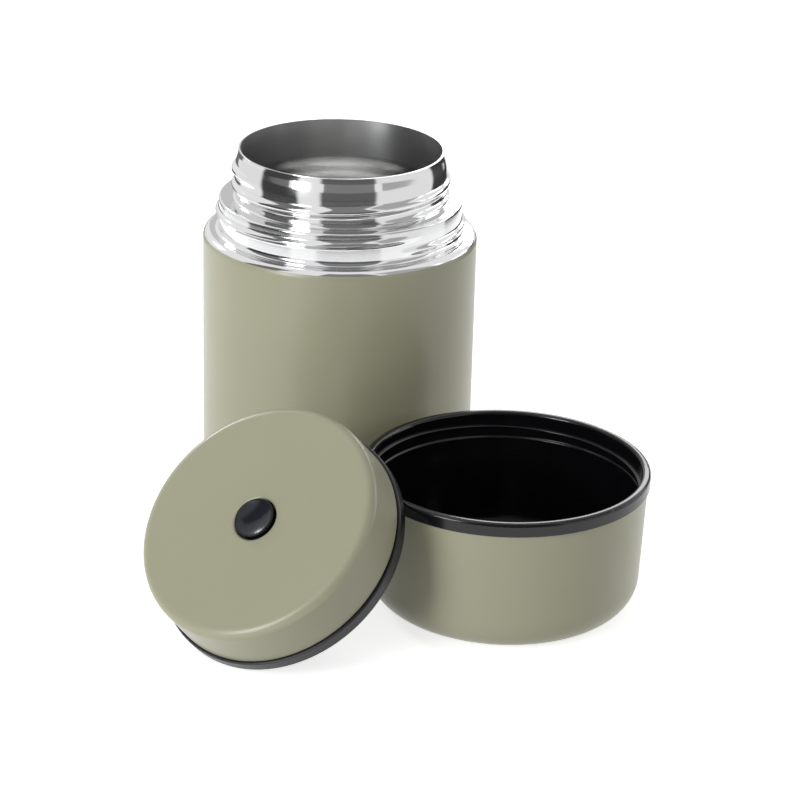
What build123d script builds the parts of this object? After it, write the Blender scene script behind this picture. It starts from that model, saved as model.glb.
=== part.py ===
from build123d import *
import os
from math import cos, hypot, radians, sin, sqrt, tau

# Wide-mouth insulated food jar, shown open: the steel jar stands at the origin, its cup stands
# beside it on the same table, and its screw lid leans on the rim of the cup.
# Lengths are millimetres, angles are degrees, +Z is up and the table is at zero.

# Jar: painted steel shell and the bare steel neck above it
body_diameter = 100.0
jar_height = 133.2
neck_height = 18.0
collar_height = 12.0
shoulder_step_share = 0.116
ledge_step_share = 0.138
paint_edge_drop = 1.6
steel_wall = 0.5
base_corner_radius = 2.5
shoulder_corner_radius = 3.2
collar_root_radius = 1.8
ledge_edge_radius = 1.2
neck_root_radius = 1.0
neck_swell = 1.15
swell_drop = 6.2
lip_drop = 1.4
swell_edge_radius = 2.0
lip_foot_radius = 0.9
foot_width = 4.5

# Jar: steel liner and what lies in the vacuum space
lip_gap = 0.2
lip_radius = 0.6
collar_vacuum_gap = 1.2
throat_vacuum_gap = 1.2
throat_radius_shares = (0.5, 0.4)
liner_floor_height = 9.0
liner_corner_radius = 8.0
liner_dais_margin = 18.0
liner_dais_rise = 1.2
liner_dais_slope = 2.0
foil_gap = 0.15
foil_thickness = 0.2
foil_margin = 5.0
getter_diameter = 10.0
getter_height = 2.5
getter_margin = 20.0
clip_wall = 0.4
clip_gap = 0.2
clip_flange = 2.5

# Jar: closed base
plate_recess = 2.6
plate_setback = 1.5
plate_clearance = 0.3
plate_bend_outer = 0.6
plate_bend_inner = 0.8
dimple_diameter = 8.0
dimple_depth = 1.6
pump_hole_diameter = 2.0
bead_height = 1.2
bead_clearance = 1.2
bead_round = 0.5
cover_disc_thickness = 0.5
cover_disc_clearance = 0.3
cover_disc_round = 0.2

# Rolled threads of the jar: only their depth and play set the sizes of the lid and the cup
upper_thread_depth = 1.05
lower_thread_depth = 1.3
lid_thread_play = 0.5
cup_thread_play = 0.9

# Lid: painted cover over a moulded screw ring with an insulated plug
lid_wall = 1.6
cover_wall = 0.6
cover_side_gap = 0.4
cover_taper = 0.52
cover_corner_radius = 3.0
cover_space = 1.6
ring_step = 1.0
ring_height = 4.4
ring_edge_radius = 0.5
ring_cover_gap = 0.4
lid_seat_gap = 0.8
gasket_thickness = 1.8
gasket_squash = 0.3
gasket_inner_overlap = 2.6
gasket_outer_overlap = 1.4
gasket_round = 0.5
plug_play = 5.6
plug_wall_thickness = 1.5
flange_fit_gap = 0.05
plug_floor_height = 7.5
inner_plate_thickness = 1.8
spigot_clearance = 0.2
spigot_wall = 1.5
spigot_height = 2.5
foam_gap = 0.3

# Vent button, valve and spring, all on the lid's axis
button_diameter = 13.0
button_gap = 0.95
button_rise = 0.9
button_dish = 1.0
dish_mid_shares = (0.5, 0.75)
button_edge_radius = 0.3
button_height = 5.6
button_cap = 2.75
button_skirt_wall = 1.3
boss_diameter = 6.2
boss_length = 5.9
stem_diameter = 4.0
stem_socket_play = 0.05
stem_socket_depth = 4.7
stem_top_gap = 0.2
stem_port_play = 0.6
foot_flange_diameter = 9.0
foot_flange_thickness = 1.0
seal_diameter = 11.0
seal_thickness = 1.8
seal_gap = 0.1
seal_stem_play = 0.2
guide_play = 0.3
guide_wall = 1.2
guide_floor = 1.2
guide_top_gap = 0.4
hole_lip_depth = 1.8
hole_lip_radius = 1.0
spring_wire = 0.6
spring_turns = 5.5
spring_end_gap = 0.05

# Cup: painted shell around a moulded liner with a proud rim
cup_height = 49.55
rim_band_height = 4.7
rim_band_step = 0.8
rim_edge_radius = 1.2
rim_inner_radius = 1.2
cup_shell_wall = 0.6
cup_liner_gap = 0.3
cup_mouth_wall = 1.3
cup_taper = 1.75
cup_corner_radius = 11.5
cup_foot_margin = 15.45
cup_foot_recess = 1.0
cup_foot_slope = 1.5
cup_floor_gap = 0.5
cup_liner_floor = 1.6
cup_thread_zone = 9.2
cup_thread_ledge = 0.5
cup_well_wall = 1.8
cup_well_radius = 9.0
small_edge_radius = 0.3

# How much of a wall a corner may take
corner_room_share = 0.9
shoulder_room_shares = (0.6, 0.35)
ledge_room_share = 0.45

# How the open set is laid out on the table
cup_bearing = -55.80
cup_stand_gap = 8.4
lid_bearing = -157.14
lid_facing = -128.32
lid_tilt = 42.40
lean_gap = 0.35
lean_search_turns = 720
lean_search_steps = 40


def limited(radius, room):
    """A corner radius, or the room that its walls leave for it."""
    return min(radius, room)


def half_section(frame):
    """The plane in which a turned piece is drawn: radius across, the frame's axis upwards."""
    return Plane(origin=frame.origin, x_dir=frame.x_dir, z_dir=-frame.y_dir)


def lathe_axis(frame):
    return Axis(frame.origin, frame.z_dir)


# Radii and heights of the jar that other pieces follow
body_r = body_diameter / 2
shoulder_step = body_r * shoulder_step_share
ledge_step = body_r * ledge_step_share
collar_r = body_r - shoulder_step
neck_r = collar_r - ledge_step
swell_r = neck_r + neck_swell
ledge_height = jar_height - neck_height
shoulder_height = ledge_height - collar_height
paint_edge = shoulder_height - paint_edge_drop
foot_inner_r = body_r - foot_width
liner_mouth_r = neck_r - 2 * steel_wall - lip_gap
liner_body_r = collar_r - 2 * steel_wall - collar_vacuum_gap
throat_height = ledge_height - 2 * steel_wall - throat_vacuum_gap

# Radii and heights of the lid, built outwards from the neck that it screws on
skirt_inner_r = swell_r + upper_thread_depth + lid_thread_play
skirt_outer_r = skirt_inner_r + lid_wall
cover_top_r = skirt_outer_r + cover_side_gap + cover_wall
cover_base_r = cover_top_r + cover_taper
ring_r = cover_base_r + ring_step
rim_level = neck_height - lid_seat_gap
ceiling_height = rim_level + gasket_thickness - gasket_squash
flange_top = ceiling_height + lid_wall
lid_height = flange_top + cover_space + cover_wall
cover_underside = lid_height - cover_wall
plug_r = liner_mouth_r - plug_play
plug_inner_r = plug_r - plug_wall_thickness
button_r = button_diameter / 2
button_hole_r = button_r + button_gap
guide_inner_r = button_r + guide_play
guide_outer_r = guide_inner_r + guide_wall
port_r = stem_diameter / 2 + stem_port_play
plate_underside = plug_floor_height - inner_plate_thickness
button_top = lid_height + button_rise
button_foot = button_top - button_height
button_underside = button_top - button_cap
boss_foot = button_underside - boss_length
guide_seat = plug_floor_height + guide_floor

# Radii and heights of the cup, built outwards from the collar that it screws on
cup_mouth_r = collar_r + lower_thread_depth + cup_thread_play
cup_liner_r = cup_mouth_r + cup_mouth_wall
cup_shell_r = cup_liner_r + cup_liner_gap + cup_shell_wall
cup_rim_r = cup_shell_r + rim_band_step
band_height = cup_height - rim_band_height
cup_base_r = cup_shell_r - cup_taper
cup_foot_r = cup_base_r - cup_foot_margin

# Places of the three loose pieces
cup_distance = body_r + cup_rim_r + cup_stand_gap
cup_x = cup_distance * cos(radians(cup_bearing))
cup_y = cup_distance * sin(radians(cup_bearing))
lid_normal = Vector(
    sin(radians(lid_tilt)) * cos(radians(lid_facing)),
    sin(radians(lid_tilt)) * sin(radians(lid_facing)),
    cos(radians(lid_tilt)),
)
lid_level = Vector(-sin(radians(lid_facing)), cos(radians(lid_facing)), 0)


def lid_foot(stand_off):
    """Centre of the lid's ring, with the ring's lowest edge on the table."""
    return Vector(
        cup_x + stand_off * cos(radians(lid_bearing)),
        cup_y + stand_off * sin(radians(lid_bearing)),
        ring_r * sin(radians(lid_tilt)),
    )


def lean_clearance(stand_off):
    """Least distance from the rounded edge of the cup's rim to the lid's ring."""
    foot = lid_foot(stand_off)
    edge_r = cup_rim_r - rim_edge_radius
    edge_height = cup_height - rim_edge_radius
    distances = []
    for step in range(lean_search_turns):
        turn = tau * step / lean_search_turns
        edge = Vector(cup_x + edge_r * cos(turn), cup_y + edge_r * sin(turn), edge_height)
        offset_to_edge = edge - foot
        rise = offset_to_edge.dot(lid_normal)
        outside = sqrt(max(offset_to_edge.length**2 - rise**2, 0)) - ring_r
        if rise > 0 and outside < 0:
            distances.append(-min(rise, -outside))
        else:
            distances.append(hypot(max(-rise, 0), max(outside, 0)))
    return min(distances) - rim_edge_radius


def lean_distance():
    """Stand-off at which the lid rests against the cup, found by halving the interval."""
    near, far = 0, cup_rim_r + 2 * ring_r
    for step in range(lean_search_steps):
        middle = (near + far) / 2
        if lean_clearance(middle) < lean_gap:
            near = middle
        else:
            far = middle
    return far


jar_frame = Plane.XY
cup_frame = Plane(origin=(cup_x, cup_y, 0), x_dir=(1, 0, 0), z_dir=(0, 0, 1))
lid_frame = Plane(origin=lid_foot(lean_distance()), x_dir=-lid_level, z_dir=lid_normal)

# Drawn sheet of the jar's outside, from the turned-in foot to the lip
with BuildPart() as drawn_sheet:
    with BuildSketch(half_section(jar_frame)):
        with BuildLine():
            FilletPolyline(
                (foot_inner_r, 0),
                (body_r, 0),
                (body_r, shoulder_height),
                (collar_r, shoulder_height),
                (collar_r, ledge_height),
                (swell_r, ledge_height),
                (swell_r, jar_height - swell_drop),
                (neck_r, jar_height - lip_drop),
                (neck_r, jar_height - steel_wall),
                radius=[
                    limited(base_corner_radius, foot_width * corner_room_share),
                    limited(shoulder_corner_radius, shoulder_step * shoulder_room_shares[0]),
                    limited(collar_root_radius, shoulder_step * shoulder_room_shares[1]),
                    limited(ledge_edge_radius, ledge_step * ledge_room_share),
                    limited(neck_root_radius, ledge_step * ledge_room_share),
                    swell_edge_radius,
                    lip_foot_radius,
                ],
            )
            offset(amount=steel_wall, side=Side.LEFT)
        make_face()
    revolve(axis=lathe_axis(jar_frame))

# Outer shell: the painted length of the sheet
with BuildPart() as outer_shell:
    add(drawn_sheet.part)
    split(bisect_by=jar_frame.offset(paint_edge), keep=Keep.BOTTOM)

# Neck shell: the bare length of the sheet, with shoulder, collar and the swell that takes the thread
with BuildPart() as neck_shell:
    add(drawn_sheet.part)
    split(bisect_by=jar_frame.offset(paint_edge), keep=Keep.TOP)

# Inner liner: food wall, throat and the lip that is welded over the shell's edge
throat_step = liner_body_r - liner_mouth_r
dais_r = liner_body_r - liner_dais_margin
liner_floor_flat = liner_dais_margin - liner_dais_slope
with BuildPart() as inner_liner:
    with BuildSketch(half_section(jar_frame)):
        with BuildLine():
            FilletPolyline(
                (0, liner_floor_height + liner_dais_rise),
                (dais_r, liner_floor_height + liner_dais_rise),
                (dais_r + liner_dais_slope, liner_floor_height),
                (liner_body_r, liner_floor_height),
                (liner_body_r, throat_height),
                (liner_mouth_r, throat_height),
                (liner_mouth_r, jar_height),
                (neck_r, jar_height),
                radius=[
                    liner_dais_rise,
                    liner_dais_rise,
                    limited(liner_corner_radius, liner_floor_flat * corner_room_share),
                    throat_step * throat_radius_shares[0],
                    throat_step * throat_radius_shares[1],
                    lip_radius,
                ],
            )
            offset(amount=steel_wall, side=Side.RIGHT)
        make_face()
    revolve(axis=lathe_axis(jar_frame))

# Reflective foil wrapped round the liner in the vacuum space
foil_inner_r = liner_body_r + steel_wall + foil_gap
foil_foot = liner_floor_height + liner_corner_radius
foil_top = throat_height - foil_margin
with BuildPart() as reflective_foil:
    with BuildSketch(jar_frame.offset(foil_foot)):
        Circle(foil_inner_r + foil_thickness)
        Circle(foil_inner_r, mode=Mode.SUBTRACT)
    extrude(amount=foil_top - foil_foot)

# Base plate: pressed disc that closes the vacuum space, with its pumping dimple
plate_recess_r = foot_inner_r - plate_setback
plate_flange_r = body_r - base_corner_radius - plate_clearance
dimple_r = dimple_diameter / 2
dimple_roof = plate_recess + dimple_depth
plate_top = plate_recess + steel_wall
with BuildPart() as base_plate:
    with BuildSketch(half_section(jar_frame)):
        with BuildLine():
            FilletPolyline(
                (pump_hole_diameter / 2, dimple_roof),
                (dimple_r, dimple_roof),
                (dimple_r, plate_recess),
                (plate_recess_r, plate_recess),
                (plate_recess_r, steel_wall),
                (plate_flange_r, steel_wall),
                radius=[plate_bend_outer, plate_bend_inner, plate_bend_outer, plate_bend_inner],
            )
            offset(amount=steel_wall, side=Side.LEFT)
        make_face()
    revolve(axis=lathe_axis(jar_frame))

# Solder bead that seals the pumping hole from below
bead_r = dimple_r - bead_clearance
with BuildPart() as seal_bead:
    with BuildSketch(jar_frame.offset(dimple_roof - bead_height)):
        Circle(bead_r)
    extrude(amount=bead_height)
    fillet(seal_bead.faces().sort_by(Axis.Z)[0].edges(), radius=bead_round)

# Cover disc that hides the dimple
with BuildPart() as base_cover:
    with BuildSketch(jar_frame.offset(plate_recess - cover_disc_thickness)):
        Circle(plate_recess_r - plate_bend_outer - cover_disc_clearance)
    extrude(amount=cover_disc_thickness)
    fillet(base_cover.faces().sort_by(Axis.Z)[0].edges(), radius=cover_disc_round)

# Getter pill on the base plate, under its pressed clip
getter_frame = Plane(origin=(plate_recess_r - getter_margin, 0, plate_top))
getter_r = getter_diameter / 2
with BuildPart() as getter:
    with BuildSketch(getter_frame):
        Circle(getter_r)
    extrude(amount=getter_height)

clip_inner_r = getter_r + clip_gap
clip_roof = getter_height + clip_gap + clip_wall
with BuildPart() as getter_clip:
    with BuildSketch(half_section(getter_frame)):
        with BuildLine():
            Polyline(
                (0, clip_roof),
                (clip_inner_r + clip_wall, clip_roof),
                (clip_inner_r + clip_wall, clip_wall),
                (clip_inner_r + clip_flange, clip_wall),
                (clip_inner_r + clip_flange, 0),
                (clip_inner_r, 0),
                (clip_inner_r, clip_roof - clip_wall),
                (0, clip_roof - clip_wall),
                close=True,
            )
        make_face()
    revolve(axis=lathe_axis(getter_frame))

# Lid cover: painted cap with a turned-in hole for the button
with BuildPart() as lid_cover:
    with BuildSketch(half_section(lid_frame)):
        with BuildLine():
            FilletPolyline(
                (button_hole_r, lid_height - hole_lip_depth),
                (button_hole_r, lid_height),
                (cover_top_r, lid_height),
                (cover_base_r, ring_height + ring_cover_gap),
                radius=[
                    limited(hole_lip_radius, hole_lip_depth * corner_room_share),
                    cover_corner_radius,
                ],
            )
            offset(amount=cover_wall, side=Side.RIGHT)
        make_face()
    revolve(axis=lathe_axis(lid_frame))

# Lid body: screw ring with the proud lower edge and the skirt that takes the jar's upper thread
with BuildPart() as lid_body:
    with BuildSketch(half_section(lid_frame)):
        with BuildLine():
            body_line = FilletPolyline(
                (skirt_inner_r, flange_top),
                (skirt_inner_r, 0),
                (ring_r, 0),
                (ring_r, ring_height),
                (skirt_outer_r, ring_height),
                (skirt_outer_r, flange_top),
                radius=[
                    ring_edge_radius,
                    ring_edge_radius,
                    ring_edge_radius,
                    small_edge_radius,
                ],
            )
            Line(body_line @ 1, body_line @ 0)
        make_face()
    revolve(axis=lathe_axis(lid_frame))

# Plug flange: the ceiling over the jar's rim, let into the skirt
with BuildPart() as plug_flange:
    with BuildSketch(lid_frame.offset(ceiling_height)):
        Circle(skirt_inner_r - flange_fit_gap)
        Circle(plug_inner_r, mode=Mode.SUBTRACT)
    extrude(amount=lid_wall)

# Plug wall: the tube around the insulation, which hangs from the flange
with BuildPart() as plug_wall:
    with BuildSketch(lid_frame.offset(plug_floor_height)):
        Circle(plug_r)
        Circle(plug_inner_r, mode=Mode.SUBTRACT)
    extrude(amount=ceiling_height - plug_floor_height)

# Gasket under the flange, where the jar's lip presses
gasket_foot = ceiling_height - gasket_thickness
with BuildPart() as lid_gasket:
    with BuildSketch(lid_frame.offset(gasket_foot)):
        Circle(neck_r + gasket_outer_overlap)
        Circle(liner_mouth_r - gasket_inner_overlap, mode=Mode.SUBTRACT)
    extrude(amount=gasket_thickness)
    fillet(lid_gasket.faces().sort_by(lathe_axis(lid_frame))[0].edges(), radius=gasket_round)

# Inner plate: closes the plug, with a spigot inside its wall and the port of the valve
spigot_outer_r = plug_inner_r - spigot_clearance
spigot_inner_r = spigot_outer_r - spigot_wall
with BuildPart() as lid_inner_plate:
    with BuildSketch(lid_frame.offset(plate_underside)):
        Circle(plug_r)
        Circle(port_r, mode=Mode.SUBTRACT)
    extrude(amount=inner_plate_thickness)
    fillet(
        lid_inner_plate.faces().sort_by(lathe_axis(lid_frame))[0].edges().sort_by(SortBy.RADIUS)[-1],
        radius=ring_edge_radius,
    )
    with BuildSketch(lid_frame.offset(plug_floor_height)):
        Circle(spigot_outer_r)
        Circle(spigot_inner_r, mode=Mode.SUBTRACT)
    extrude(amount=spigot_height)

# Valve guide: floored tube on the plate that steers the button and seats the spring
guide_top = lid_height - hole_lip_depth - guide_top_gap
with BuildPart() as valve_guide:
    with BuildSketch(half_section(lid_frame)):
        with BuildLine():
            Polyline(
                (port_r, plug_floor_height),
                (guide_outer_r, plug_floor_height),
                (guide_outer_r, guide_top),
                (guide_inner_r, guide_top),
                (guide_inner_r, guide_seat),
                (port_r, guide_seat),
                close=True,
            )
        make_face()
    revolve(axis=lathe_axis(lid_frame))

# Foam between the guide, the plug's wall and the cover
foam_inner_r = guide_outer_r + foam_gap
foam_outer_r = plug_inner_r - foam_gap
foam_foot_r = spigot_inner_r - foam_gap
foam_step = plug_floor_height + spigot_height + foam_gap
foam_top = cover_underside - foam_gap
with BuildPart() as lid_insulation:
    with BuildSketch(half_section(lid_frame)):
        with BuildLine():
            Polyline(
                (foam_inner_r, plug_floor_height),
                (foam_foot_r, plug_floor_height),
                (foam_foot_r, foam_step),
                (foam_outer_r, foam_step),
                (foam_outer_r, foam_top),
                (foam_inner_r, foam_top),
                close=True,
            )
        make_face()
    revolve(axis=lathe_axis(lid_frame))

# Vent button: dished cap with a skirt and a socketed boss
boss_r = boss_diameter / 2
socket_r = stem_diameter / 2 + stem_socket_play
socket_roof = boss_foot + stem_socket_depth
button_skirt_r = button_r - button_skirt_wall
dish_rim_r = button_r - button_edge_radius
with BuildPart() as vent_button:
    with BuildSketch(half_section(lid_frame)):
        with BuildLine():
            dish = ThreePointArc(
                (0, button_top - button_dish),
                (dish_rim_r * dish_mid_shares[0], button_top - button_dish * dish_mid_shares[1]),
                (dish_rim_r, button_top),
            )
            edge = RadiusArc(
                dish @ 1,
                (button_r, button_top - button_edge_radius),
                button_edge_radius,
            )
            Polyline(
                edge @ 1,
                (button_r, button_foot),
                (button_skirt_r, button_foot),
                (button_skirt_r, button_underside),
                (boss_r, button_underside),
                (boss_r, boss_foot),
                (socket_r, boss_foot),
                (socket_r, socket_roof),
                (0, socket_roof),
                dish @ 0,
            )
        make_face()
    revolve(axis=lathe_axis(lid_frame))

# Valve stem: rod from the button's socket to the foot under the seal
seal_top = plate_underside - seal_gap
seal_foot = seal_top - seal_thickness
stem_foot = seal_foot - foot_flange_thickness
stem_r = stem_diameter / 2
with BuildPart() as valve_stem:
    with BuildSketch(lid_frame.offset(stem_foot)):
        Circle(foot_flange_diameter / 2)
    extrude(amount=foot_flange_thickness)
    with BuildSketch(lid_frame.offset(seal_foot)):
        Circle(stem_r)
    extrude(amount=socket_roof - stem_top_gap - seal_foot)

# Valve seal: soft washer that closes the port from below
with BuildPart() as valve_seal:
    with BuildSketch(lid_frame.offset(seal_foot)):
        Circle(seal_diameter / 2)
        Circle(stem_r + seal_stem_play, mode=Mode.SUBTRACT)
    extrude(amount=seal_thickness)

# Button spring: one unbroken wire, each quarter turn drawn as two tangent arcs
spring_r = (button_skirt_r + boss_r) / 2
spring_low = guide_seat + spring_wire / 2 + spring_end_gap
spring_high = button_underside - spring_wire / 2 - spring_end_gap
spring_quarters = round(spring_turns * 4)


def coil_point(quarter):
    """Point and direction of the wire's centre line after some quarter turns."""
    turn = tau * quarter / 4
    rise = (spring_high - spring_low) / spring_quarters
    place = lid_frame.from_local_coords(
        Vector(spring_r * cos(turn), spring_r * sin(turn), spring_low + rise * quarter)
    )
    ahead = Vector(-spring_r * sin(turn) * tau / 4, spring_r * cos(turn) * tau / 4, rise)
    heading = lid_frame.from_local_coords(ahead) - lid_frame.origin
    return place, heading.normalized()


with BuildPart() as button_spring:
    with BuildLine() as coil:
        for quarter in range(spring_quarters):
            start, start_heading = coil_point(quarter)
            end, end_heading = coil_point(quarter + 1)
            chord = end - start
            headings = start_heading + end_heading
            square = 4 - headings.dot(headings)
            slope = chord.dot(headings)
            reach = (sqrt(slope**2 + square * chord.dot(chord)) - slope) / square
            knee_in = start + start_heading * reach
            knee_out = end - end_heading * reach
            TangentArc(start, (knee_in + knee_out) / 2, tangent=start_heading)
            TangentArc((knee_in + knee_out) / 2, end, tangent=knee_out - knee_in)
    with BuildSketch(Plane(origin=coil.line @ 0, z_dir=coil.line % 0)):
        Circle(spring_wire / 2)
    sweep(path=coil.line)

# Cup shell: drawn sheet with a large bottom corner and a shallow foot recess, up to the rim band
taper_share = cup_taper / band_height
cup_foot_flat = cup_foot_margin - cup_foot_slope
shell_edge = band_height - cup_shell_wall * taper_share
with BuildPart() as cup_shell:
    with BuildSketch(half_section(cup_frame)):
        with BuildLine():
            FilletPolyline(
                (0, cup_foot_recess),
                (cup_foot_r, cup_foot_recess),
                (cup_foot_r + cup_foot_slope, 0),
                (cup_base_r, 0),
                (cup_shell_r, shell_edge),
                radius=[
                    cup_foot_recess,
                    cup_foot_recess,
                    limited(cup_corner_radius, cup_foot_flat * corner_room_share),
                ],
            )
            offset(amount=cup_shell_wall, side=Side.LEFT)
        make_face()
    revolve(axis=lathe_axis(cup_frame))

# Cup liner: moulded bowl with the proud rim, the threaded mouth and the well
liner_floor_under = cup_foot_recess + cup_shell_wall + cup_floor_gap
liner_floor_top = liner_floor_under + cup_liner_floor
liner_base_r = cup_liner_r - taper_share * (band_height - liner_floor_under)
well_top_r = cup_mouth_r - cup_thread_ledge
well_base_r = liner_base_r - cup_well_wall
thread_floor = cup_height - cup_thread_zone
with BuildPart() as cup_liner:
    with BuildSketch(half_section(cup_frame)):
        with BuildLine():
            bowl = FilletPolyline(
                (0, liner_floor_under),
                (liner_base_r, liner_floor_under),
                (cup_liner_r, band_height),
                (cup_rim_r, band_height),
                (cup_rim_r, cup_height),
                (cup_mouth_r, cup_height),
                (cup_mouth_r, thread_floor),
                (well_top_r, thread_floor - cup_thread_ledge),
                (well_base_r, liner_floor_top),
                (0, liner_floor_top),
                radius=[
                    cup_well_radius + cup_liner_floor,
                    small_edge_radius,
                    small_edge_radius,
                    rim_edge_radius,
                    rim_inner_radius,
                    small_edge_radius,
                    small_edge_radius,
                    cup_well_radius,
                ],
            )
            Line(bowl @ 1, bowl @ 0)
        make_face()
    revolve(axis=lathe_axis(cup_frame))

# Least gap between the turns of the spring, measured on points of its centre line
samples_per_quarter = 24
gap_samples = samples_per_quarter * spring_quarters
half_turn_samples = samples_per_quarter * 2
wire_points = [coil.line @ (step / gap_samples) for step in range(gap_samples + 1)]
spring_gap = min(
    (wire_points[late] - wire_points[early]).length
    for early in range(gap_samples)
    for late in range(early + half_turn_samples, gap_samples + 1)
) - spring_wire
print(f"button spring: least gap between turns {spring_gap:.2f} mm")
lid_place = tuple(round(value, 2) for value in lid_frame.origin)
lid_axis = tuple(round(value, 5) for value in lid_normal)
print(f"lid stands at {lid_place}, axis {lid_axis}")
print(f"cup stands at {cup_x:.2f}, {cup_y:.2f}; lid height {lid_height:.2f}, ring radius {ring_r:.2f}")

# One file for each piece
os.makedirs("parts", exist_ok=True)
pieces = {
    "outer_shell": outer_shell,
    "neck_shell": neck_shell,
    "inner_liner": inner_liner,
    "reflective_foil": reflective_foil,
    "getter": getter,
    "getter_clip": getter_clip,
    "base_plate": base_plate,
    "seal_bead": seal_bead,
    "base_cover": base_cover,
    "lid_cover": lid_cover,
    "lid_body": lid_body,
    "plug_flange": plug_flange,
    "plug_wall": plug_wall,
    "lid_insulation": lid_insulation,
    "lid_inner_plate": lid_inner_plate,
    "lid_gasket": lid_gasket,
    "valve_guide": valve_guide,
    "button_spring": button_spring,
    "vent_button": vent_button,
    "valve_stem": valve_stem,
    "valve_seal": valve_seal,
    "cup_shell": cup_shell,
    "cup_liner": cup_liner,
}
for name, piece in pieces.items():
    piece.part.label = name
    export_step(piece.part, f"parts/{name}.step")
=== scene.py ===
# %% [markdown]
# An open food jar, its lid and its cup
#
# The object is a vacuum food jar that someone has just opened. The painted steel jar stands with its
# bare, threaded neck uncovered, the cup stands beside it, and the screw lid leans on the cup's rim.
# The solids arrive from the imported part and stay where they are. This lesson dresses them: it sets the
# camera, builds the studio, gives every solid a finish made of shader nodes, and models the rolled and
# moulded screw threads, which are forms of the sheet and the mouldings and not separate parts.

import math

import bmesh
import bpy
from mathutils import Matrix, Vector


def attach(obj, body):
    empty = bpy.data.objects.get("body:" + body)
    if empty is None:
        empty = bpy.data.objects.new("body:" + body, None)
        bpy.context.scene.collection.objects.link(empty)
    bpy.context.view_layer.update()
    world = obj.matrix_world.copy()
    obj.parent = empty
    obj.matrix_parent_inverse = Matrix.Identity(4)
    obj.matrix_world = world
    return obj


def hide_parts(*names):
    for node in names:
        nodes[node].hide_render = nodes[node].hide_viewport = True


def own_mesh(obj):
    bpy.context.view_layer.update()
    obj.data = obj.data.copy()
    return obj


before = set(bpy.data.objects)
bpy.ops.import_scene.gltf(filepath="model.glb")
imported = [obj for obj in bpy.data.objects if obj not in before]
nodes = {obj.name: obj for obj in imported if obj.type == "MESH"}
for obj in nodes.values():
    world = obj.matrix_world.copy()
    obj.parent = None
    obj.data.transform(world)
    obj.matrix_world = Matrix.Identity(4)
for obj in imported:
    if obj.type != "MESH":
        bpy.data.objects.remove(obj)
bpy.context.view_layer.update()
MM = 0.001

# %% [markdown]
# The camera
#
# The photograph looks down at the set from the front through a long lens, and the horizon leans a
# little. The place, the tilt and the lens come from fitting the jar's rim, the cup's rim and the lid's
# ring to their ellipses. Writing the three view directions as the columns of a matrix is safer than
# Euler angles, because the small roll can't get mixed up with the pitch.

# %% Place the camera
IMAGE_WIDTH_PX = 800
FOCAL_PX = 2720.2
SENSOR_WIDTH = 36.0
CAMERA_PLACE = Vector((23.50, -942.68, 422.62)) * MM
CAMERA_PITCH = math.radians(22.326)
CAMERA_ROLL = math.radians(1.5415)

scene = bpy.context.scene
camera = bpy.data.objects.new("camera", bpy.data.cameras.new("camera"))
scene.collection.objects.link(camera)
look = Vector((0, math.cos(CAMERA_PITCH), -math.sin(CAMERA_PITCH)))
level_right = Vector((1, 0, 0))
level_up = level_right.cross(look)
right = level_right * math.cos(CAMERA_ROLL) + level_up * math.sin(CAMERA_ROLL)
up = level_up * math.cos(CAMERA_ROLL) - level_right * math.sin(CAMERA_ROLL)
camera.matrix_world = Matrix.Translation(CAMERA_PLACE) @ Matrix((right, up, -look)).transposed().to_4x4()
camera.data.sensor_width = SENSOR_WIDTH
camera.data.lens = SENSOR_WIDTH * FOCAL_PX / IMAGE_WIDTH_PX
camera.data.clip_start = 0.05
camera.data.clip_end = 20.0
scene.camera = camera
print("lens:", round(camera.data.lens, 2), "mm")

# %% [markdown]
# Small helpers for shader nodes
#
# Every finish below is a Principled BSDF with a few nodes in front of it. Two helpers keep the cells
# short: one starts a material and sets the plain values directly on the shader, the other adds a node
# and joins its inputs. Plain values stay on the shader's own sockets, because an exporter reads them there.

# %% Node helpers
def add_node(tree, kind, inputs=None, **settings):
    """A node of that kind, with attributes set and inputs given as values or as sockets to join."""
    node = tree.nodes.new(kind)
    for key, value in settings.items():
        setattr(node, key, value)
    for key, value in (inputs or {}).items():
        if isinstance(value, bpy.types.NodeSocket):
            tree.links.new(value, node.inputs[key])
        else:
            node.inputs[key].default_value = value
    return node


def start_finish(name, colour, roughness, metallic=0.0, **plain):
    """A material with a Principled BSDF, and its tree and shader for further nodes."""
    material = bpy.data.materials.new(name)
    material.use_nodes = True
    tree = material.node_tree
    shader = tree.nodes["Principled BSDF"]
    shader.inputs["Base Color"].default_value = (*colour, 1.0)
    shader.inputs["Roughness"].default_value = roughness
    shader.inputs["Metallic"].default_value = metallic
    for key, value in plain.items():
        shader.inputs[key.replace("_", " ")].default_value = value
    material.diffuse_color = (*colour, 1.0)
    return material, tree, shader


def dress(material, *names):
    """Give CAD solids a finish. The mesh itself is left alone."""
    for name in names:
        slots = nodes[name].data.materials
        slots.clear()
        slots.append(material)
    print(material.name, "on", ", ".join(names))


# %% [markdown]
# Two effects that several finishes share
#
# Sprayed paint and moulded plastic both have a skin that is never quite even: a slow drift in tone and
# a very fine bump. Pressed and spun steel has the opposite, fine lines that run round the axis of the
# piece. Each effect is a node group, built once and placed in each material with its own values. The
# ring lines read the height along the axis plus the radius, so that they also run round on flat faces.

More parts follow.
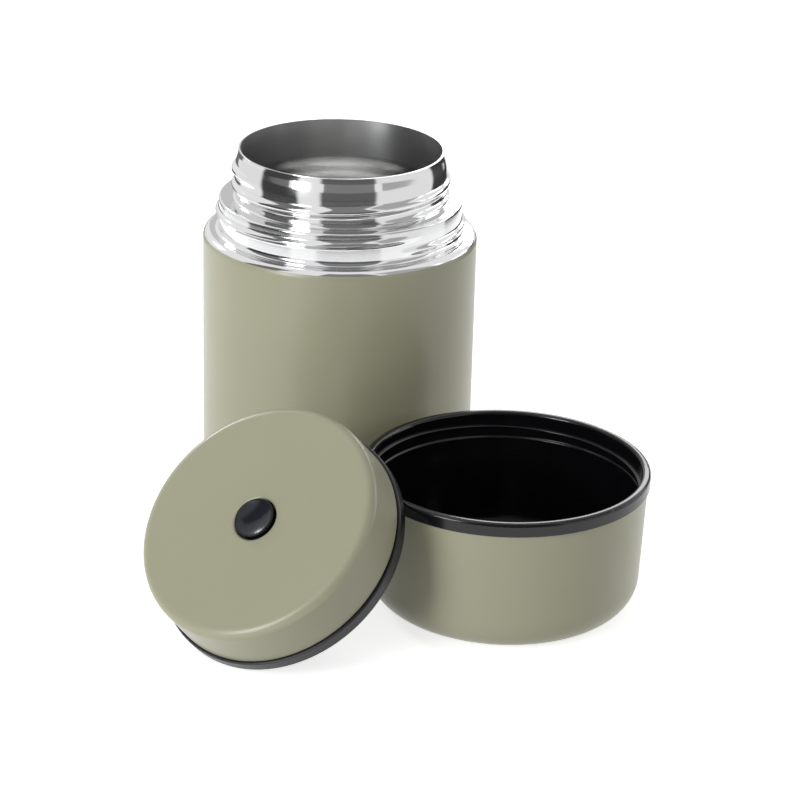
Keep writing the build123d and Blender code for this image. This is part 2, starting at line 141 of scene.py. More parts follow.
# %% Node group for an uneven skin
def build_uneven_skin():
    group = bpy.data.node_groups.new("uneven_skin", "ShaderNodeTree")
    face = group.interface
    face.new_socket("Light Tone", in_out="INPUT", socket_type="NodeSocketColor")
    face.new_socket("Dark Tone", in_out="INPUT", socket_type="NodeSocketColor")
    for name in ("Drift Scale", "Grain Scale", "Rough Low", "Rough High"):
        face.new_socket(name, in_out="INPUT", socket_type="NodeSocketFloat")
    face.new_socket("Tone", in_out="OUTPUT", socket_type="NodeSocketColor")
    for name in ("Roughness", "Grain"):
        face.new_socket(name, in_out="OUTPUT", socket_type="NodeSocketFloat")
    given = group.nodes.new("NodeGroupInput").outputs
    place = add_node(group, "ShaderNodeTexCoord").outputs["Object"]
    drift = add_node(
        group, "ShaderNodeTexNoise", {"Vector": place, "Scale": given["Drift Scale"], "Detail": 3.0},
    )
    grain = add_node(
        group, "ShaderNodeTexNoise", {"Vector": place, "Scale": given["Grain Scale"], "Detail": 2.0},
    )
    tone = add_node(
        group, "ShaderNodeMix",
        {0: drift.outputs["Fac"], 6: given["Dark Tone"], 7: given["Light Tone"]}, data_type="RGBA",
    )
    rough = add_node(
        group, "ShaderNodeMapRange",
        {"Value": grain.outputs["Fac"], "To Min": given["Rough Low"], "To Max": given["Rough High"]},
    )
    leave = group.nodes.new("NodeGroupOutput").inputs
    group.links.new(tone.outputs[2], leave["Tone"])
    group.links.new(rough.outputs["Result"], leave["Roughness"])
    group.links.new(grain.outputs["Fac"], leave["Grain"])
    return group


# %% Node group for ring lines
def build_ring_lines():
    group = bpy.data.node_groups.new("ring_lines", "ShaderNodeTree")
    face = group.interface
    for name in ("Fine Scale", "Rough Low", "Rough High"):
        face.new_socket(name, in_out="INPUT", socket_type="NodeSocketFloat")
    for name in ("Roughness", "Lines"):
        face.new_socket(name, in_out="OUTPUT", socket_type="NodeSocketFloat")
    given = group.nodes.new("NodeGroupInput").outputs
    place = add_node(group, "ShaderNodeTexCoord").outputs["Object"]
    parts = add_node(group, "ShaderNodeSeparateXYZ", {"Vector": place}).outputs
    flat = add_node(group, "ShaderNodeCombineXYZ", {"X": parts["X"], "Y": parts["Y"]})
    radius = add_node(group, "ShaderNodeVectorMath", {0: flat.outputs[0]}, operation="LENGTH")
    along = add_node(group, "ShaderNodeMath", {0: parts["Z"], 1: radius.outputs["Value"]}, operation="ADD")
    fine = add_node(
        group, "ShaderNodeTexNoise",
        {"W": along.outputs[0], "Scale": given["Fine Scale"], "Detail": 4.0}, noise_dimensions="1D",
    )
    rough = add_node(
        group, "ShaderNodeMapRange",
        {"Value": fine.outputs["Fac"], "To Min": given["Rough Low"], "To Max": given["Rough High"]},
    )
    leave = group.nodes.new("NodeGroupOutput").inputs
    group.links.new(rough.outputs["Result"], leave["Roughness"])
    group.links.new(fine.outputs["Fac"], leave["Lines"])
    return group


uneven_skin = build_uneven_skin()
ring_lines = build_ring_lines()
print("shared effects:", uneven_skin.name, "and", ring_lines.name)


# %% Finishes that use the shared effects
QUARTER_TURN = 0.25


def skin_finish(name, light, dark, drift, grain, rough, bump, **plain):
    """Paint, plastic or rubber: an uneven skin over a plain shader."""
    material, tree, shader = start_finish(name, light, sum(rough) / 2, **plain)
    skin = add_node(
        tree, "ShaderNodeGroup",
        {
            "Light Tone": (*light, 1.0), "Dark Tone": (*dark, 1.0), "Drift Scale": drift,
            "Grain Scale": grain, "Rough Low": rough[0], "Rough High": rough[1],
        },
        node_tree=uneven_skin,
    )
    relief = add_node(
        tree, "ShaderNodeBump", {"Height": skin.outputs["Grain"], "Strength": 1.0, "Distance": bump},
    )
    tree.links.new(skin.outputs["Tone"], shader.inputs["Base Color"])
    tree.links.new(skin.outputs["Roughness"], shader.inputs["Roughness"])
    tree.links.new(relief.outputs["Normal"], shader.inputs["Normal"])
    return material


def steel_finish(name, colour, rough, fine, bump, turned=0.0):
    """Bare metal with ring lines round the axis. Turned metal also spreads its gloss across the lines."""
    material, tree, shader = start_finish(name, colour, sum(rough) / 2, metallic=1.0)
    lines = add_node(
        tree, "ShaderNodeGroup", {"Fine Scale": fine, "Rough Low": rough[0], "Rough High": rough[1]},
        node_tree=ring_lines,
    )
    relief = add_node(
        tree, "ShaderNodeBump", {"Height": lines.outputs["Lines"], "Strength": 1.0, "Distance": bump},
    )
    tree.links.new(lines.outputs["Roughness"], shader.inputs["Roughness"])
    tree.links.new(relief.outputs["Normal"], shader.inputs["Normal"])
    if turned > 0.0:
        round_axis = add_node(tree, "ShaderNodeTangent", direction_type="RADIAL", axis="Z")
        tree.links.new(round_axis.outputs["Tangent"], shader.inputs["Tangent"])
        shader.inputs["Anisotropic"].default_value = turned
        shader.inputs["Anisotropic Rotation"].default_value = QUARTER_TURN
    return material


# %% [markdown]
# The painted pieces
#
# The jar's body, the lid's cap and the cup's shell are steel sprayed in one satin sage green. A real
# coat of this kind is matt enough to show no clear reflections, yet it catches a soft light along round
# edges. A single colour would look like plastic, so the tone drifts slightly and a fine bump stands for
# the texture of the spray.

# %% Sage paint
SAGE_LIGHT = (0.374, 0.366, 0.252)
SAGE_DARK = (0.348, 0.340, 0.234)
sage_paint = skin_finish(
    "sage_paint", SAGE_LIGHT, SAGE_DARK, drift=22.0, grain=2600.0, rough=(0.28, 0.34), bump=0.000010,
)
dress(sage_paint, "outer_shell", "lid_cover", "cup_shell")

# %% [markdown]
# The bare steel
#
# The neck is polished almost to a mirror, while the liner keeps a softer shine from the drawing press.
# A rough metal would turn pale in a deep mouth, so the liner is bright steel with a middling roughness.
# Both get the ring lines, which are finer on the neck, and both spread their gloss across these lines.
# The base parts, the spring and the clip are plain sheet and wire.

# %% Steel finishes
polished_steel = steel_finish(
    "polished_steel", (0.74, 0.74, 0.745), rough=(0.06, 0.12), fine=1800.0, bump=0.000001, turned=0.4,
)
liner_steel = steel_finish(
    "liner_steel", (0.84, 0.84, 0.835), rough=(0.20, 0.26), fine=1500.0, bump=0.000001, turned=0.6,
)
wire_steel = steel_finish(
    "wire_steel", (0.60, 0.60, 0.59), rough=(0.18, 0.28), fine=2200.0, bump=0.000002,
)
foil_metal = steel_finish(
    "foil_metal", (0.86, 0.86, 0.87), rough=(0.10, 0.30), fine=300.0, bump=0.00001,
)
getter_alloy = steel_finish(
    "getter_alloy", (0.26, 0.25, 0.24), rough=(0.55, 0.75), fine=900.0, bump=0.00001,
)
dress(polished_steel, "neck_shell")
dress(liner_steel, "inner_liner", "base_plate", "base_cover", "getter_clip")
dress(wire_steel, "button_spring")
dress(foil_metal, "reflective_foil")
dress(getter_alloy, "getter")

# %% [markdown]
# Mouldings, seals and fillings
#
# The lid's ring and the cup's liner are black mouldings. The ring is satin, the inside of the cup is
# glossy, and the vent button has a wet-looking blue-black. Behind them are a grey plug, foam, two
# silicone seals and a bead of sealing glass.

# %% Plastics and the rest
black_ring = skin_finish(
    "black_ring", (0.014, 0.014, 0.017), (0.010, 0.010, 0.012), 40.0, 3000.0, (0.26, 0.36), 0.000008,
)
cup_black = skin_finish(
    "cup_black", (0.0055, 0.0055, 0.0070), (0.0040, 0.0040, 0.0050), 40.0, 3000.0, (0.13, 0.18), 0.000004,
)
grey_moulding = skin_finish(
    "grey_moulding", (0.045, 0.045, 0.048), (0.034, 0.034, 0.037), 40.0, 2600.0, (0.40, 0.52), 0.00001,
)
button_gloss = skin_finish(
    "button_gloss", (0.008, 0.010, 0.016), (0.006, 0.008, 0.012), 60.0, 3000.0, (0.14, 0.20), 0.000003,
    Specular_IOR_Level=0.4,
)
foam = skin_finish(
    "foam", (0.80, 0.77, 0.68), (0.70, 0.67, 0.58), 120.0, 1400.0, (0.80, 0.95), 0.00015,
)
silicone = skin_finish(
    "silicone", (0.62, 0.62, 0.62), (0.54, 0.54, 0.54), 60.0, 2200.0, (0.45, 0.60), 0.00001,
)
solder_glass = skin_finish(
    "solder_glass", (0.10, 0.11, 0.12), (0.07, 0.08, 0.09), 300.0, 2600.0, (0.05, 0.12), 0.000004,
)
dress(black_ring, "lid_body")
dress(cup_black, "cup_liner")
dress(grey_moulding, "plug_flange", "plug_wall", "lid_inner_plate", "valve_guide", "valve_stem")
dress(button_gloss, "vent_button")
dress(foam, "lid_insulation")
dress(silicone, "lid_gasket", "valve_seal")
dress(solder_glass, "seal_bead")

# %% [markdown]
# Making a turned mesh
#
# Almost everything here is round, so one helper does most of the modelling. It draws half of the
# section as a few joined vertices, rounds each corner with a vertex bevel, and spins the line round the
# axis. Spinning is how the metal is really formed, on a lathe or between rollers, and it keeps the mesh
# even all round, which a mirror finish needs.

# %% Turned sections
ROUND_SEGMENTS = 10
MERGE_DISTANCE = 1e-7


def draw_section(bm, points, rounds):
    """Joined vertices through (radius, height) points in mm, with corners rounded by the given radii."""
    line = [bm.verts.new((radius * MM, 0, height * MM)) for radius, height in points]
    for first, second in zip(line, line[1:]):
        bm.edges.new((first, second))
    for corner, radius in zip(line[1:-1], rounds):
        if radius > 0.0:
            bmesh.ops.bevel(
                bm, geom=[corner], offset=radius * MM, offset_type="OFFSET", segments=ROUND_SEGMENTS,
                profile=0.5, affect="VERTICES", material=-1,
            )


def refine_section(bm, step):
    """Cut long straight runs into pieces of about that length, in millimetres."""
    for edge in list(bm.edges):
        cuts = int(edge.calc_length() / (step * MM))
        if cuts > 0:
            bmesh.ops.subdivide_edges(bm, edges=[edge], cuts=cuts)


def spin_section(bm, steps):
    """Turn the section once round the Z axis, close its seam and poles, and face it outwards."""
    bmesh.ops.spin(
        bm, geom=bm.verts[:] + bm.edges[:], cent=(0, 0, 0), axis=(0, 0, 1), dvec=(0, 0, 0),
        angle=math.tau, steps=steps, use_merge=True, use_duplicate=False,
    )
    bmesh.ops.remove_doubles(bm, verts=bm.verts[:], dist=MERGE_DISTANCE)
    bmesh.ops.recalc_face_normals(bm, faces=bm.faces[:])


# %% Finishing a piece
SHARP_ANGLE = math.radians(35)


def finish_piece(bm, name, body, material):
    """Turn the bmesh into a smooth-shaded piece that rides on a CAD body."""
    for face in bm.faces:
        face.smooth = True
    for edge in bm.edges:
        edge.smooth = edge.calc_face_angle(0.0) < SHARP_ANGLE
    mesh = bpy.data.meshes.new(name)
    triangles = sum(len(face.verts) - 2 for face in bm.faces)
    loose = sum(1 for edge in bm.edges if len(edge.link_faces) != 2)
    bm.to_mesh(mesh)
    bm.free()
    mesh.materials.append(material)
    piece = bpy.data.objects.new(name, mesh)
    scene.collection.objects.link(piece)
    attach(piece, body)
    print(name, "triangles:", triangles, "open edges:", loose)
    return piece


# %% [markdown]
# The threaded neck
#
# The neck carries two rolled threads, both in the same 0.5 mm sheet: a coarse one for the lid on the
# neck, and a finer one for the cup on the collar. Rolling pushes the sheet out along a helix, so the
# ridge has soft flanks and fades out at both ends. A separate coil laid on a cylinder would show a hard
# seam in the reflections. Here the plain neck is spun first, and then its vertices move outwards where
# the helix passes, which keeps one unbroken skin. The wall gets its thickness last.

# %% Helix of a thread
def smooth_step(value):
    """A soft rise from 0 to 1."""
    value = min(max(value, 0.0), 1.0)
    return value * value * (3.0 - 2.0 * value)


def ridge_height(thread, angle, height):
    """How far a thread stands out at an angle in degrees and a height in millimetres."""
    most = 0.0
    for turn in range(-2, 3):
        along = angle + 360.0 * turn
        if thread["start"] <= along <= thread["end"]:
            crest = thread["level"] + thread["pitch"] * along / 360.0
            flank = (1.0 - abs(height - crest) / thread["half_width"]) / thread["flank_share"]
            fade = min(along - thread["start"], thread["end"] - along) / thread["run_out"]
            most = max(most, thread["depth"] * smooth_step(flank) * smooth_step(fade))
    return most


LID_THREAD_ON_NECK = {
    "start": -440.0, "end": 224.0, "level": 122.7, "pitch": 6.0, "depth": 1.25,
    "half_width": 2.3, "flank_share": 0.85, "run_out": 40.0,
}
CUP_THREAD_ON_COLLAR = {
    "start": -60.0, "end": 312.0, "level": 107.5, "pitch": 5.0, "depth": 1.2,
    "half_width": 1.6, "flank_share": 0.95, "run_out": 25.0,
}

# %% Spin the neck
BODY_R, COLLAR_R, NECK_R, LIP_R = 50.0, 44.3, 38.45, 37.25
PAINT_EDGE, SHOULDER, LEDGE = 101.6, 103.2, 115.2
FLARE_FOOT, FLARE_TOP, RIM = 127.0, 131.8, 133.2
SHEET, LIP_SHEET, LIP_TRIM = 0.5, 0.3, 0.1
WALL_BELOW_SHOULDER = 4.2
NECK_ROUNDS = [3.2, 1.8, 0.9, 1.0, 2.0, 0.9]
NECK_STEPS, NECK_RUN = 288, 0.35

neck = bmesh.new()
draw_section(
    neck,
    [
        (BODY_R, SHOULDER - WALL_BELOW_SHOULDER), (BODY_R, SHOULDER), (COLLAR_R, SHOULDER),
        (COLLAR_R, LEDGE), (NECK_R, LEDGE), (NECK_R, FLARE_FOOT), (LIP_R, FLARE_TOP),
        (LIP_R, RIM - LIP_TRIM),
    ],
    NECK_ROUNDS,
)
refine_section(neck, NECK_RUN)
bmesh.ops.bisect_plane(
    neck, geom=neck.verts[:] + neck.edges[:], plane_co=(0, 0, PAINT_EDGE * MM), plane_no=(0, 0, 1),
    clear_inner=True,
)
spin_section(neck, NECK_STEPS)
print("plain neck:", len(neck.verts), "vertices")

# %% Roll the threads
NECK_BAND, COLLAR_BAND = 0.9, 0.3
ROOT_BLEND, ROOT_START = 1.2, 0.2

for vertex in neck.verts:
    radius = vertex.co.xy.length / MM
    height = vertex.co.z / MM
    angle = math.degrees(math.atan2(vertex.co.y, vertex.co.x))
    if radius < NECK_R + NECK_BAND:
        root = smooth_step((height - LEDGE) / ROOT_BLEND - ROOT_START)
        lift = ridge_height(LID_THREAD_ON_NECK, angle, height) * root
    elif abs(radius - COLLAR_R) < COLLAR_BAND:
        root = smooth_step((height - SHOULDER) / ROOT_BLEND - ROOT_START)
        lift = ridge_height(CUP_THREAD_ON_COLLAR, angle, height) * root
    else:
        lift = 0.0
    vertex.co.xy *= (radius + lift) / radius
bmesh.ops.recalc_face_normals(neck, faces=neck.faces[:])
bmesh.ops.solidify(neck, geom=neck.faces[:], thickness=SHEET * MM)
threaded_neck = finish_piece(neck, "threaded_neck", "jar", polished_steel)
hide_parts("neck_shell")
reach = max(vertex.co.xy.length for vertex in threaded_neck.data.vertices)
print("neck reaches radius", round(reach / MM, 2), "mm")

# %% [markdown]
# The liner and its lip
#
# The liner is one deep-drawn beaker. Its floor has a low raised disc, and its wall narrows through a
# conical throat to the mouth. At the top it is trimmed and welded to the neck, so the two sheets meet in
# a thin edge. A lathe section shows all of that in one line, from the middle of the floor up to the rim.
# The line is spun into a skin first, and the skin gets the thickness of the sheet last.

# %% Draw the liner
LINER_MOUTH_R, LINER_BODY_R, THROAT = 36.75, 42.0, 113.0
THROAT_FOOT, THROAT_HEAD = THROAT - 2.5, THROAT + 3.5
DISC_R, DISC_FOOT_R, DISC_TOP, LINER_FLOOR = 24.0, 26.0, 10.2, 9.0
LINER_ROUNDS = [0.9, 0.9, 8.0, 3.0, 3.0]
LINER_STEPS, LINER_SHEET = 192, 0.35

liner = bmesh.new()
draw_section(
    liner,
    [
        (0.0, DISC_TOP), (DISC_R, DISC_TOP), (DISC_FOOT_R, LINER_FLOOR), (LINER_BODY_R, LINER_FLOOR),
        (LINER_BODY_R, THROAT_FOOT), (LINER_MOUTH_R, THROAT_HEAD), (LIP_R - LIP_SHEET, RIM),
    ],
    LINER_ROUNDS,
)
spin_section(liner, LINER_STEPS)
bmesh.ops.solidify(liner, geom=liner.faces[:], thickness=LINER_SHEET * MM)
drawn_liner = finish_piece(liner, "drawn_liner", "jar", liner_steel)
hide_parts("inner_liner")

# %% [markdown]
# The moulded threads
#
# The lid and the cup have matching ridges on the inside, moulded with the wall. These are sharper than
# rolled ones and end in a short taper. A small section with a rounded tip is spun along the helix with a
# rise at each step. It starts inside the wall, so that no light shows behind it, and at its ends the
# ridge sinks back into the wall. Each ridge is made round the Z axis and then moved to its piece.

# %% A moulded ridge
RIDGE_SUNK = 0.4
RIDGE_STEP_DEG = 3.0
RIDGE_END_SHARE = 0.12
TIP_ROUND_SHARE, TIP_SEGMENTS = 0.19, 4


def moulded_ridge(wall_r, depth, width, level, pitch, start, end, run_out):
    """A helical ridge that stands inwards from a wall, around the Z axis, in millimetres and degrees."""
    bm = bmesh.new()
    back_r, tip_r = wall_r + RIDGE_SUNK, wall_r - depth
    outline = [(back_r, -0.5), (tip_r, -0.2), (tip_r, 0.2), (back_r, 0.5)]
    foot = level + pitch * start / 360.0
    corners = [bm.verts.new((radius * MM, 0, (foot + side * width) * MM)) for radius, side in outline]
    bm.faces.new(corners)
    bmesh.ops.bevel(
        bm, geom=corners[1:3], offset=TIP_ROUND_SHARE * width * MM, offset_type="OFFSET",
        segments=TIP_SEGMENTS, profile=0.5, affect="VERTICES", material=-1,
    )
    turn_to_start = Matrix.Rotation(math.radians(start), 3, "Z")
    bmesh.ops.rotate(bm, verts=bm.verts[:], cent=(0, 0, 0), matrix=turn_to_start)
    steps = int((end - start) / RIDGE_STEP_DEG)
    rise = pitch * (end - start) / 360.0 / steps
    bmesh.ops.spin(
        bm, geom=bm.verts[:] + bm.edges[:] + bm.faces[:], cent=(0, 0, 0), axis=(0, 0, 1),
        dvec=(0, 0, rise * MM), angle=math.radians(end - start), steps=steps, use_merge=False,
        use_duplicate=False,
    )
    bmesh.ops.recalc_face_normals(bm, faces=bm.faces[:])
    for vertex in bm.verts:
        radius = vertex.co.xy.length / MM
        angle = math.degrees(math.atan2(vertex.co.y, vertex.co.x))
        turns = round(((vertex.co.z / MM - level) / pitch * 360.0 - angle) / 360.0)
        along = angle + 360.0 * turns
        fade = smooth_step(min(along - start, end - along) / run_out)
        kept = RIDGE_END_SHARE + (1.0 - RIDGE_END_SHARE) * fade
        vertex.co.xy *= (back_r - (back_r - radius) * kept) / radius
    return bm


# %% Lid thread
LID_ORIGIN = Vector((-13.59, -120.43, 29.75)) * MM
LID_AXIS = Vector((-0.418103, -0.529031, 0.738455))
LID_ACROSS = Vector((-0.7846, 0.6201, 0.0)).normalized()
LID_PLACE = Matrix.Translation(LID_ORIGIN) @ Matrix(
    (LID_ACROSS, LID_AXIS.cross(LID_ACROSS), LID_AXIS)
).transposed().to_4x4()
SKIRT_INNER_R = 40.0

ridge = moulded_ridge(
    SKIRT_INNER_R, depth=1.1, width=2.4, level=6.0, pitch=6.0, start=-200.0, end=200.0, run_out=25.0,
)
bmesh.ops.transform(ridge, matrix=LID_PLACE, verts=ridge.verts[:])
finish_piece(ridge, "lid_thread", "lid", black_ring)

# %% Cup thread
CUP_PLACE = Matrix.Translation(Vector((60.59, -89.16, 0.0)) * MM)
CUP_MOUTH_R = 46.4

ridge = moulded_ridge(
    CUP_MOUTH_R, depth=1.0, width=1.5, level=42.8, pitch=5.0, start=-95.0, end=285.0, run_out=20.0,
)
bmesh.ops.transform(ridge, matrix=CUP_PLACE, verts=ridge.verts[:])
finish_piece(ridge, "cup_thread", "cup", cup_black)

# %% [markdown]
# The vent button
#
# The button is a glossy moulding with a thin flange round a dished top, and it stands a little proud of
# the painted cap. The dish gathers a lamp into one bright spot, so its curve has to be smooth. The
# section follows a parabola across the dish, turns over the rounded flange, and closes inside the solid
# button that it caps. The flange stays above the valve guide even when the button is pressed down.

# %% Turn the button's cap
FLANGE_R, DISH_R, CAP_ROOT_R = 7.0, 6.55, 6.3
FLANGE_TOP, DISH_FLOOR, FLANGE_FOOT, CAP_ROOT = 23.7, 22.6, 22.88, 22.1
DISH_STEPS, CAP_STEPS = 12, 96
FLANGE_ROUNDS = [0.2, 0.35, 0.15]

dish_run = [step / DISH_STEPS for step in range(DISH_STEPS + 1)]
dish_line = [(DISH_R * share, DISH_FLOOR + (FLANGE_TOP - DISH_FLOOR) * share ** 2) for share in dish_run]
cap = bmesh.new()
draw_section(
    cap,
    dish_line + [
        (FLANGE_R, FLANGE_TOP), (FLANGE_R, FLANGE_FOOT), (CAP_ROOT_R, FLANGE_FOOT), (CAP_ROOT_R, CAP_ROOT),
        (0.0, CAP_ROOT),
    ],
    [0.0] * (DISH_STEPS - 1) + FLANGE_ROUNDS,
)
spin_section(cap, CAP_STEPS)
bmesh.ops.transform(cap, matrix=LID_PLACE, verts=cap.verts[:])
finish_piece(cap, "vent_cap", "button", button_gloss)

# %% [markdown]
# The spring under the button
#
# A compression spring is wire wound on a mandrel. A circle spun with a rise at each step gives the same
# coil. The spring stands on the floor of the valve guide and shortens as the button goes down, so the
# coil takes its two ends from the solid spring.

# %% Wind the spring
COIL_R, WIRE_R, WIRE_SIDES = 4.15, 0.3, 12
COIL_TURNS, COIL_STEPS_PER_TURN = 5.5, 40

spring_points = nodes["button_spring"].data.vertices
along_axis = [(vertex.co - LID_ORIGIN).dot(LID_AXIS) / MM for vertex in spring_points]
coil_foot, coil_top = min(along_axis), max(along_axis)
coil_steps = int(COIL_TURNS * COIL_STEPS_PER_TURN)
wire_rise = (coil_top - coil_foot - 2 * WIRE_R) / coil_steps
wire_start = Matrix.Translation(Vector((COIL_R, 0, coil_foot + WIRE_R)) * MM)
upright = Matrix.Rotation(math.pi / 2, 4, "X")
coil = bmesh.new()
bmesh.ops.create_circle(
    coil, cap_ends=True, segments=WIRE_SIDES, radius=WIRE_R * MM, matrix=wire_start @ upright,
)
bmesh.ops.spin(
    coil, geom=coil.verts[:] + coil.edges[:] + coil.faces[:], cent=(0, 0, 0), axis=(0, 0, 1),
    dvec=(0, 0, wire_rise * MM), angle=COIL_TURNS * math.tau, steps=coil_steps, use_merge=False,
    use_duplicate=False,
)
bmesh.ops.recalc_face_normals(coil, faces=coil.faces[:])
bmesh.ops.transform(coil, matrix=LID_PLACE, verts=coil.verts[:])
coil_spring = finish_piece(coil, "coil_spring", "lid", wire_steel)
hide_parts("button_spring")
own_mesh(coil_spring)
print("spring from", round(coil_foot, 2), "to", round(coil_top, 2), "mm along the lid's axis")

# %% [markdown]
# The stage
#
# The set stands on a plain pale floor in front of white. A brighter lamp could whiten the background,
# but it would bleach the paint as well. Instead the floor and the world are white for the camera and for
# reflections alone, and the light that falls on the object stays at a plain level.

# %% Rays that see the white
def seen_rays(tree):
    """A socket that is 1 for camera, glossy and transmission rays, and 0 for light that is scattered."""
    path = add_node(tree, "ShaderNodeLightPath").outputs
    seen = path["Is Camera Ray"]
    for ray in ("Is Glossy Ray", "Is Transmission Ray"):
        seen = add_node(tree, "ShaderNodeMath", {0: seen, 1: path[ray]}, operation="MAXIMUM").outputs[0]
    return seen


# %% Floor
FLOOR_SIZE, FLOOR_TONE, FLOOR_GLOW = 6.0, 0.80, 0.70


def build_floor():
    """A wide flat floor that takes shadows and looks white."""
    bm = bmesh.new()
    bmesh.ops.create_grid(bm, x_segments=1, y_segments=1, size=FLOOR_SIZE)
    mesh = bpy.data.meshes.new("floor")
    bm.to_mesh(mesh)
    bm.free()
    floor = bpy.data.objects.new("floor", mesh)
    scene.collection.objects.link(floor)
    material = bpy.data.materials.new("white_floor")
    material.use_nodes = True
    tree = material.node_tree
    tree.nodes.remove(tree.nodes["Principled BSDF"])
    base = add_node(tree, "ShaderNodeBsdfDiffuse", {"Color": (FLOOR_TONE, FLOOR_TONE, FLOOR_TONE, 1.0)})
    level = add_node(tree, "ShaderNodeMath", {0: seen_rays(tree), 1: FLOOR_GLOW}, operation="MULTIPLY")
    glow = add_node(tree, "ShaderNodeEmission", {"Color": (1, 1, 1, 1), "Strength": level.outputs[0]})
    both = add_node(tree, "ShaderNodeAddShader", {0: base.outputs[0], 1: glow.outputs[0]})
    tree.links.new(both.outputs[0], tree.nodes["Material Output"].inputs["Surface"])
    mesh.materials.append(material)
    print("floor tone", FLOOR_TONE, "and glow", FLOOR_GLOW)


build_floor()

# %% White world
AMBIENT, SEEN_WHITE = 0.36, 1.0

world = bpy.data.worlds.new("white_studio")
scene.world = world
world.use_nodes = True
sky = world.node_tree
sky_level = add_node(
    sky, "ShaderNodeMapRange", {"Value": seen_rays(sky), "To Min": AMBIENT, "To Max": SEEN_WHITE},
)
sky.nodes["Background"].inputs["Color"].default_value = (1, 1, 1, 1)
sky.links.new(sky_level.outputs["Result"], sky.nodes["Background"].inputs["Strength"])
print("world gives light at", AMBIENT, "and is seen at", SEEN_WHITE)

# %% [markdown]
# The lamps
#
# The photograph has one large soft light from the front left, which shapes the lid and the cup, and
# weaker ones behind, which draw bright edges on the round walls. Each is a rectangular area lamp, because
# its shape shows in gloss as a real soft box does. All are aimed at one point low on the jar.

# %% Soft boxes
LAMP_AIM = Vector((0.0, 0.0, 0.06))
WHITE, COOL = (1.0, 1.0, 1.0), (0.96, 0.98, 1.0)


def soft_box(name, place, size, watts, colour):
    """A rectangular lamp of that width and height in metres, turned towards the object."""
    data = bpy.data.lights.new(name, "AREA")
    data.shape = "RECTANGLE"
    data.size, data.size_y = size
    data.energy = watts
    data.color = colour
    lamp = bpy.data.objects.new(name, data)
    scene.collection.objects.link(lamp)
    lamp.location = place
    lamp.rotation_euler = (LAMP_AIM - Vector(place)).to_track_quat("-Z", "Y").to_euler()
    print(name, "gives", watts, "W")


soft_box("key_left", (-0.85, -0.95, 0.40), (0.40, 0.75), 10.6, COOL)
soft_box("fill_right", (1.2, -0.2, 0.5), (0.8, 0.8), 1.3, COOL)
soft_box("edge_right", (1.1, 0.55, 0.25), (0.6, 0.5), 2.4, COOL)
soft_box("low_right", (0.55, 1.15, 0.25), (0.6, 0.4), 2.6, COOL)
soft_box("back_right", (0.30, 1.1, 0.60), (0.7, 0.25), 2.2, WHITE)
soft_box("back_left", (-0.72, 0.72, 0.62), (0.2, 0.2), 3.2, COOL)

# %% [markdown]
# The cards
#
# Polished steel shows whatever surrounds it, so a photographer stands black cards round a shiny object
# to draw dark bands between the white ones. The same cards stand here in a ring, seen by reflections
# only, so that they throw no shadow and take no light away. Two low rings carry the bands that the neck
# shows. Four taller cards darken what the lip and the mouth see, with gaps between them for the lamps.

# %% Grey levels round the ring
CARD_RADIUS, CARD_STEPS = 0.358, 96
LOW_BANDS = [
    (0, 0.95), (20, 0.95), (23, 0.05), (66, 0.05), (71, 0.95), (103, 0.95), (108, 0.16), (134, 0.16),
    (140, 1.0), (180, 1.0), (184, 0.06), (225, 0.06), (229, 1.0), (249, 1.0), (253, 0.12), (306, 0.12),
    (309, 0.95),
]
MIDDLE_BANDS = [
    (0, 0.95), (20, 0.95), (24, 0.06), (48, 0.06), (56, 0.90), (180, 0.95), (184, 0.06), (225, 0.06),
    (229, 1.0), (249, 1.0), (253, 0.14), (306, 0.14), (309, 0.95),
]
print("stops of the low ring:", len(LOW_BANDS), "and of the middle ring:", len(MIDDLE_BANDS))


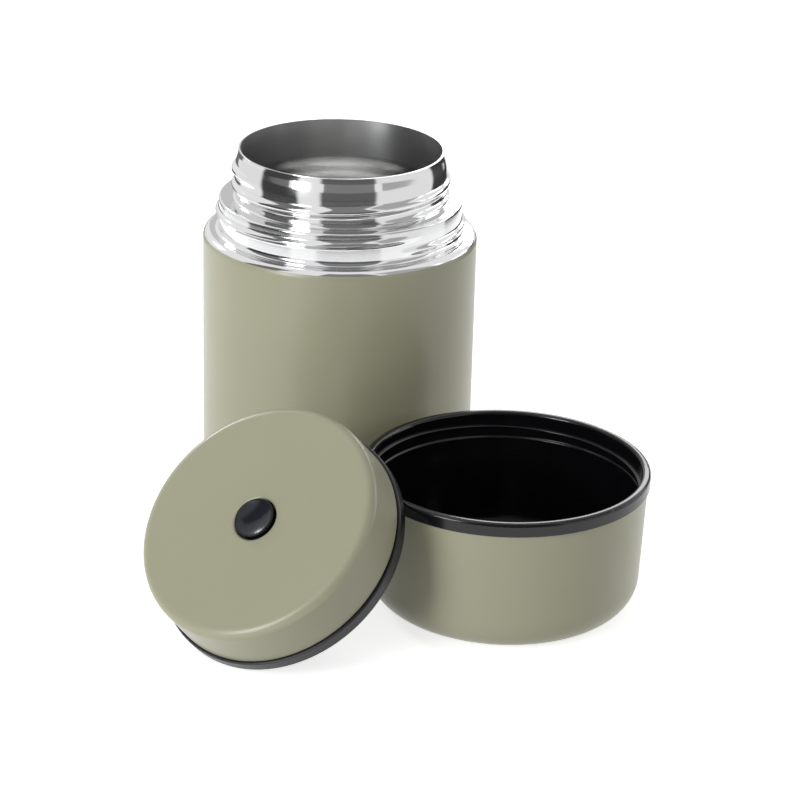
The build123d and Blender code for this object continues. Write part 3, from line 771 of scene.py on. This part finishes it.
# %% A bent card
def card_bands(name, bands):
    """A glow that changes round the Z axis, with grey levels at (degrees, level) stops."""
    material = bpy.data.materials.new(name + "_bands")
    material.use_nodes = True
    tree = material.node_tree
    tree.nodes.remove(tree.nodes["Principled BSDF"])
    place = add_node(tree, "ShaderNodeTexCoord").outputs["Object"]
    half_turn = add_node(tree, "ShaderNodeMapping", {"Vector": place, "Rotation": (0, 0, math.pi)})
    around = add_node(
        tree, "ShaderNodeTexGradient", {"Vector": half_turn.outputs[0]}, gradient_type="RADIAL",
    )
    ramp = add_node(tree, "ShaderNodeValToRGB", {"Fac": around.outputs["Fac"]})
    stops = ramp.color_ramp.elements
    stops.remove(stops[1])
    for index, (degrees, level) in enumerate(bands):
        stop = stops[0] if index == 0 else stops.new(degrees / 360.0)
        stop.position = degrees / 360.0
        stop.color = (level, level, level, 1.0)
    glow = add_node(tree, "ShaderNodeEmission", {"Color": ramp.outputs["Color"], "Strength": 1.0})
    tree.links.new(glow.outputs[0], tree.nodes["Material Output"].inputs["Surface"])
    return material


def build_card(name, foot, head, turn, bands):
    """An upright card bent round the Z axis between two angles, seen by reflections only."""
    bm = bmesh.new()
    bm.edges.new([bm.verts.new((CARD_RADIUS, 0, height)) for height in (foot, head)])
    turn_to_start = Matrix.Rotation(math.radians(turn[0]), 3, "Z")
    bmesh.ops.rotate(bm, verts=bm.verts[:], cent=(0, 0, 0), matrix=turn_to_start)
    bmesh.ops.spin(
        bm, geom=bm.verts[:] + bm.edges[:], cent=(0, 0, 0), axis=(0, 0, 1), dvec=(0, 0, 0),
        angle=math.radians(turn[1] - turn[0]), steps=CARD_STEPS, use_merge=False, use_duplicate=False,
    )
    mesh = bpy.data.meshes.new(name)
    bm.to_mesh(mesh)
    bm.free()
    card = bpy.data.objects.new(name, mesh)
    scene.collection.objects.link(card)
    mesh.materials.append(card_bands(name, bands))
    card.visible_camera = False
    card.visible_diffuse = False
    card.visible_shadow = False
    card.visible_transmission = False
    print(name, "stands at", CARD_RADIUS, "m, stops:", len(bands))


# %% Stand the cards
build_card("low_cards", 0.0, 0.065, (0.0, 360.0), LOW_BANDS)
build_card("middle_cards", 0.065, 0.15, (0.0, 360.0), MIDDLE_BANDS)
build_card("front_card", 0.15, 1.2, (254.0, 306.0), [(0, 0.25)])
build_card("left_card", 0.15, 0.7, (186.0, 217.0), [(0, 0.20)])
build_card("right_card", 0.15, 0.8, (314.0, 358.0), [(0, 0.48)])
build_card("back_card", 0.15, 0.42, (92.0, 112.0), [(0, 0.66)])

# %% [markdown]
# The colour view
#
# The Standard view keeps colours as they are written.

# %% Settings
scene.view_settings.view_transform = "Standard"
